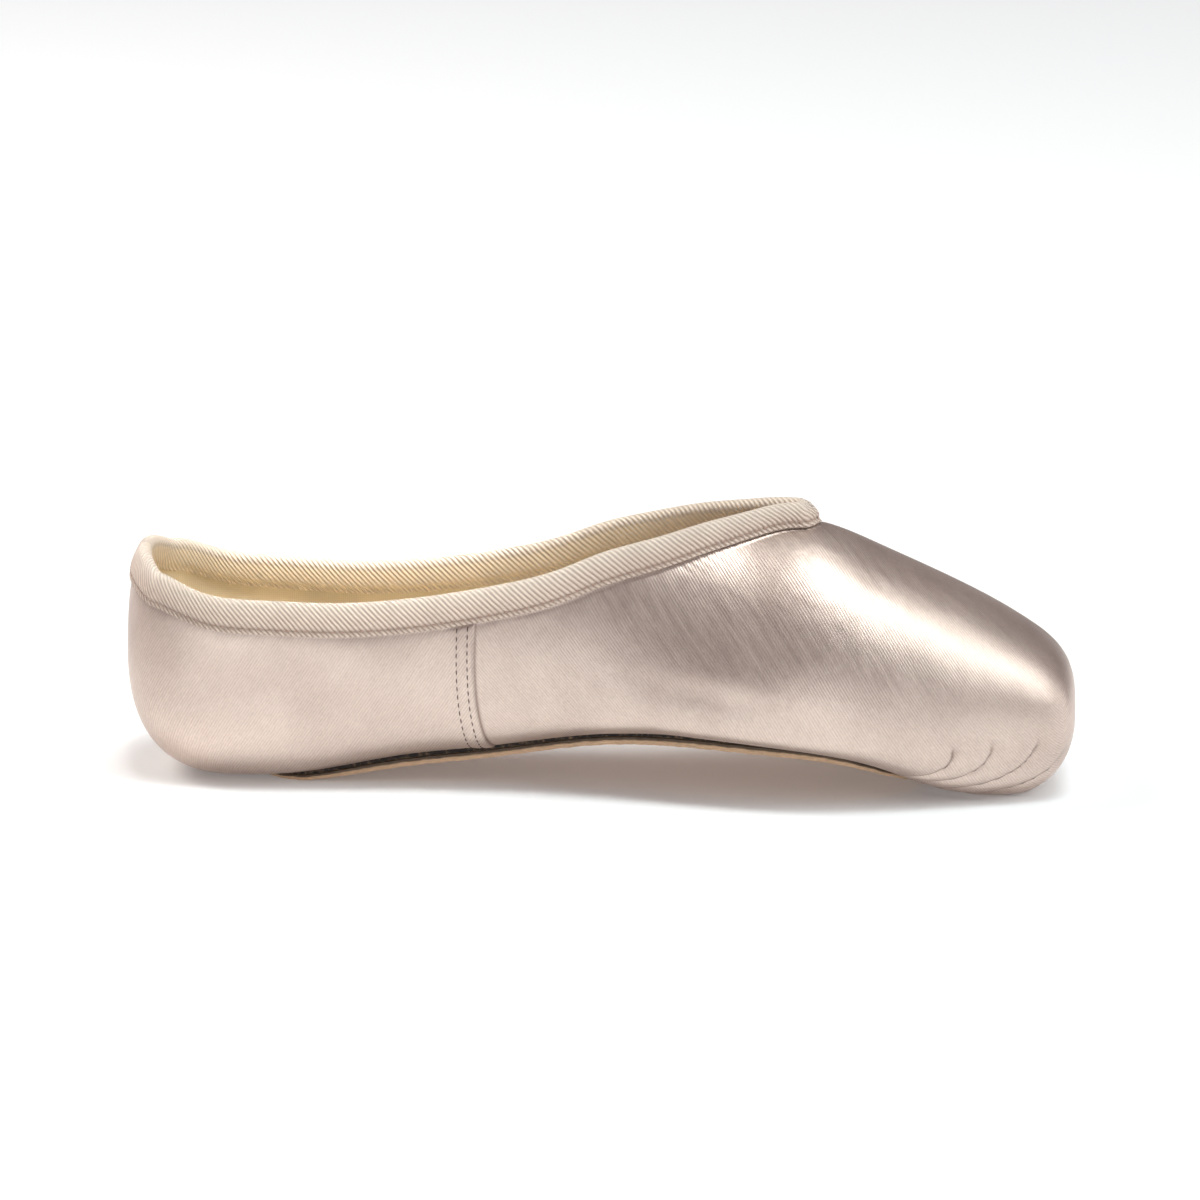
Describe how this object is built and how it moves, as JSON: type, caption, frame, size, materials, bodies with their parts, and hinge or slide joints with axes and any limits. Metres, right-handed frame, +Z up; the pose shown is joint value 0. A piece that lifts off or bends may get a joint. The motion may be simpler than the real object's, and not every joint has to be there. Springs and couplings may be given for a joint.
{
  "type": "pointe shoe",
  "caption": "Straight-lasted satin dance shoe with a stiffened flat-fronted box toe, a bound V collar, lapped side seams and a short leather outsole.",
  "frame": {"origin": "on the floor, under the centre of the shoe's box", "axes": "+X from heel to toe, +Z up, and the shoe is the same on +Y and -Y"},
  "size_m": [0.24, 0.076, 0.0714],
  "materials": {
    "satin": "pale pink satin, fine diagonal weave, strong soft gloss",
    "twill": "cream pink ribbed tape, matt",
    "sole_leather": "tan leather with a raw pale edge, matt",
    "lining": "cream cotton, matt"
  },
  "bodies": {
    "root": {"upper": "satin", "binding": "twill", "outsole": "sole_leather", "insole": "lining"}
  },
  "joints": []
}
